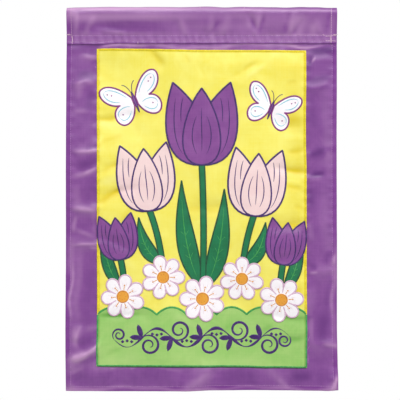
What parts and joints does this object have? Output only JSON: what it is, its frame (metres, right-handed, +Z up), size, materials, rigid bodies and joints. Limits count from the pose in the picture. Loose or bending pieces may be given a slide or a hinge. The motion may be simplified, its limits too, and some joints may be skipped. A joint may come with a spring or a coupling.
{
  "type": "garden flag",
  "caption": "Hanging garden flag: hemmed purple nylon with a rod sleeve at its top, and a yellow panel of sewn-on tulips, daisies and butterflies over a green band.",
  "frame": {"origin": "middle of the axis that a rod takes through the sleeve", "axes": "+Z up the flag as it hangs, +X along the rod to the right of someone facing the picture, -Y out of the picture's face"},
  "size_m": [0.324, 0.0164, 0.457],
  "materials": {
    "purple_nylon": "satin woven nylon",
    "yellow_nylon": "satin woven nylon",
    "green_nylon": "satin woven nylon",
    "pink_nylon": "satin woven nylon",
    "violet_nylon": "satin woven nylon",
    "white_nylon": "satin woven nylon",
    "leaf_nylon": "satin woven nylon",
    "gold_nylon": "satin woven nylon",
    "lilac_thread": "glossy embroidery thread",
    "yellow_thread": "glossy embroidery thread",
    "green_thread": "glossy embroidery thread",
    "dark_green_thread": "glossy embroidery thread",
    "violet_thread": "glossy embroidery thread",
    "magenta_thread": "glossy embroidery thread",
    "pink_thread": "glossy embroidery thread",
    "aqua_thread": "glossy embroidery thread",
    "gold_thread": "glossy embroidery thread"
  },
  "bodies": {
    "root": {"ground_cloth": "purple_nylon", "rod_sleeve": "purple_nylon", "sky_panel": "yellow_nylon", "grass_band": "green_nylon", "tulip_1_front_petal": "violet_nylon", "tulip_1_left_petal": "violet_nylon", "tulip_1_right_petal": "violet_nylon", "tulip_2_front_petal": "pink_nylon", "tulip_2_left_petal": "pink_nylon", "tulip_2_right_petal": "pink_nylon", "tulip_3_front_petal": "pink_nylon", "tulip_3_left_petal": "pink_nylon", "tulip_3_right_petal": "pink_nylon", "tulip_4_front_petal": "violet_nylon", "tulip_4_left_petal": "violet_nylon", "tulip_4_right_petal": "violet_nylon", "tulip_5_front_petal": "violet_nylon", "tulip_5_left_petal": "violet_nylon", "tulip_5_right_petal": "violet_nylon", "daisy_1_petals": "white_nylon", "daisy_1_eye": "gold_nylon", "daisy_2_petals": "white_nylon", "daisy_2_eye": "gold_nylon", "daisy_3_petals": "white_nylon", "daisy_3_eye": "gold_nylon", "daisy_4_petals": "white_nylon", "daisy_4_eye": "gold_nylon", "daisy_5_petals": "white_nylon", "daisy_5_eye": "gold_nylon", "stem_1": "leaf_nylon", "stem_2": "leaf_nylon", "stem_3": "leaf_nylon", "stem_4": "leaf_nylon", "stem_5": "leaf_nylon", "leaf_1": "leaf_nylon", "leaf_2": "leaf_nylon", "leaf_3": "leaf_nylon", "leaf_4": "leaf_nylon", "leaf_5": "leaf_nylon", "leaf_6": "leaf_nylon", "butterfly_1_right_wings": "white_nylon", "butterfly_1_left_wings": "white_nylon", "butterfly_1_body": "violet_nylon", "butterfly_2_right_wings": "white_nylon", "butterfly_2_left_wings": "white_nylon", "butterfly_2_body": "violet_nylon"}
  },
  "joints": []
}
